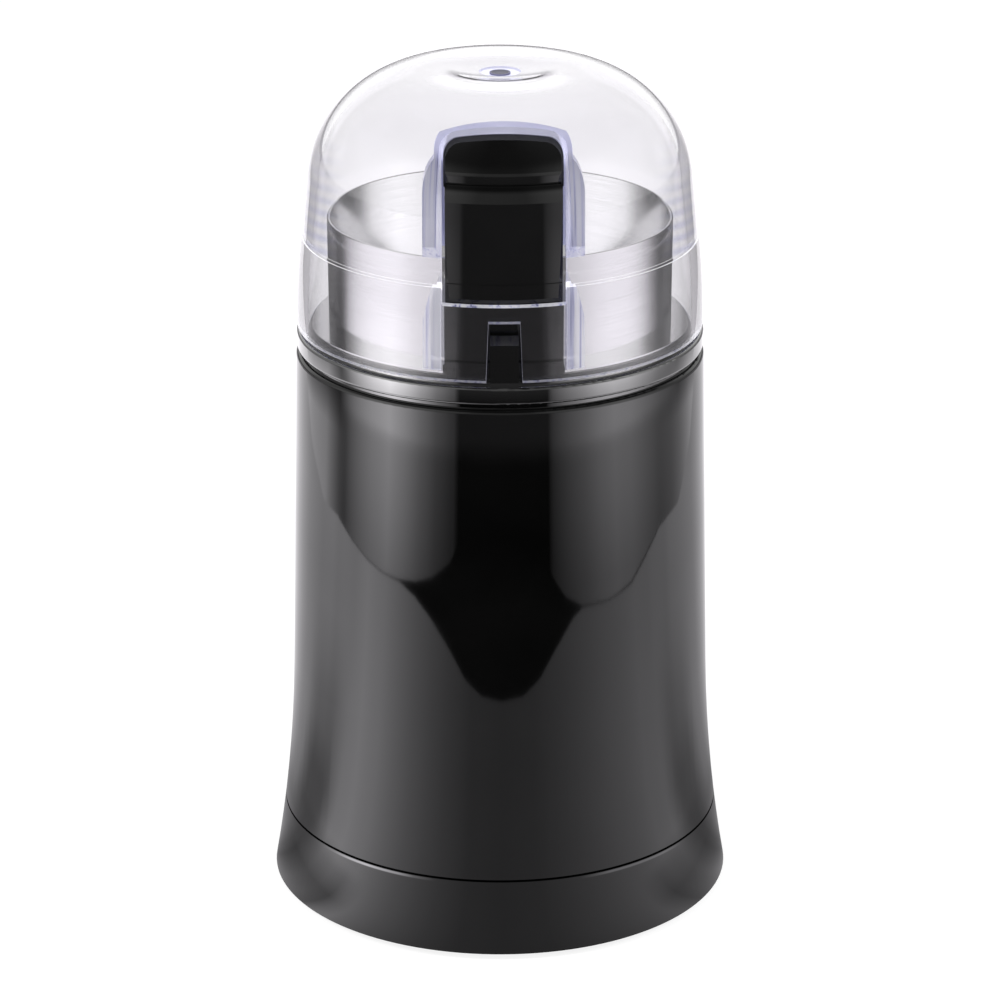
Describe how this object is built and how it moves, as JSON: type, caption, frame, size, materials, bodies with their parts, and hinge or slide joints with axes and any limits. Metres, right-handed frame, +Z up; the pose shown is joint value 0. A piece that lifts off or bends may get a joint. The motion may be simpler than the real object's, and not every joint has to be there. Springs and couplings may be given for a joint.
{
  "type": "electric coffee grinder",
  "caption": "Round blade coffee grinder with a waisted gloss body, steel bowl with blade under a clear domed lid, and a press button on a front tower.",
  "frame": {"origin": "centre of the base, on the surface that the rubber feet stand on", "axes": "+Z up along the motor shaft; -Y is the front, with the button tower; +X to the right seen from the front"},
  "size_m": [0.1, 0.1, 0.1823],
  "materials": {
    "clear_plastic": "clear, polished, faint cool tint",
    "black_gloss": "moulded, high gloss",
    "button_black": "moulded, satin gloss",
    "foot_rubber": "matt soft rubber",
    "seal_black": "moulded, matt",
    "bowl_steel": "bright pressed stainless steel",
    "blade_steel": "ground stainless steel",
    "zinc_steel": "zinc plated",
    "spring_steel": "drawn bright",
    "motor_plastic": "moulded phenolic, matt",
    "bronze": "bare",
    "copper": "enamelled wire and bars",
    "core_iron": "stacked laminations",
    "carbon": "pressed carbon"
  },
  "bodies": {
    "base": {"housing": "black_gloss", "base_cover": "black_gloss", "feet": "foot_rubber", "base_screws": "zinc_steel", "lead_gland": "foot_rubber", "top_collar": "black_gloss", "bowl": "bowl_steel", "shaft_seal": "seal_black", "motor_mounts": "foot_rubber", "mount_screws": "zinc_steel", "upper_bracket": "zinc_steel", "lower_bracket": "motor_plastic", "upper_bearing": "bronze", "lower_bearing": "bronze", "stator_core": "core_iron", "field_coils": "copper", "tie_screws": "zinc_steel", "tie_nuts": "zinc_steel", "brush_holders": "bronze", "brushes": "carbon", "brush_springs": "spring_steel", "switch_body": "motor_plastic", "switch_terminals": "bronze", "switch_screws": "zinc_steel", "return_spring": "spring_steel"},
    "lid": {"lid": "clear_plastic"},
    "button": {"button": "button_black", "push_rod": "zinc_steel"},
    "rotor": {"motor_shaft": "spring_steel", "blade_spacer": "seal_black", "blade": "blade_steel", "blade_nut": "blade_steel", "armature_core": "core_iron", "armature_winding": "copper", "commutator": "copper"},
    "switch_lever": {"switch_lever": "spring_steel"}
  },
  "joints": [
    {"name": "lid_lift", "type": "slide", "parent": "base", "child": "lid", "axis": [0, 0, 1], "range_m": [0, 0.06]},
    {"name": "button_press", "type": "slide", "parent": "base", "child": "button", "axis": [0, 0, -1], "range_m": [0, 0.003], "stiffness_N_per_m": 600, "springref_m": -0.003, "deforming": ["return_spring"]},
    {"name": "rotor_spin", "type": "hinge", "parent": "base", "child": "rotor", "pos_m": [0, 0, 0.068], "axis": [0, 0, 1], "continuous": true},
    {"name": "lever_tilt", "type": "hinge", "parent": "base", "child": "switch_lever", "pos_m": [-0.014, -0.034, 0.0952], "axis": [0, 1, 0], "range_deg": [0, 16]}
  ],
  "couplings": [
    {"joint": "lever_tilt", "follows": "button_press", "rad_per_m": 81.485}
  ]
}
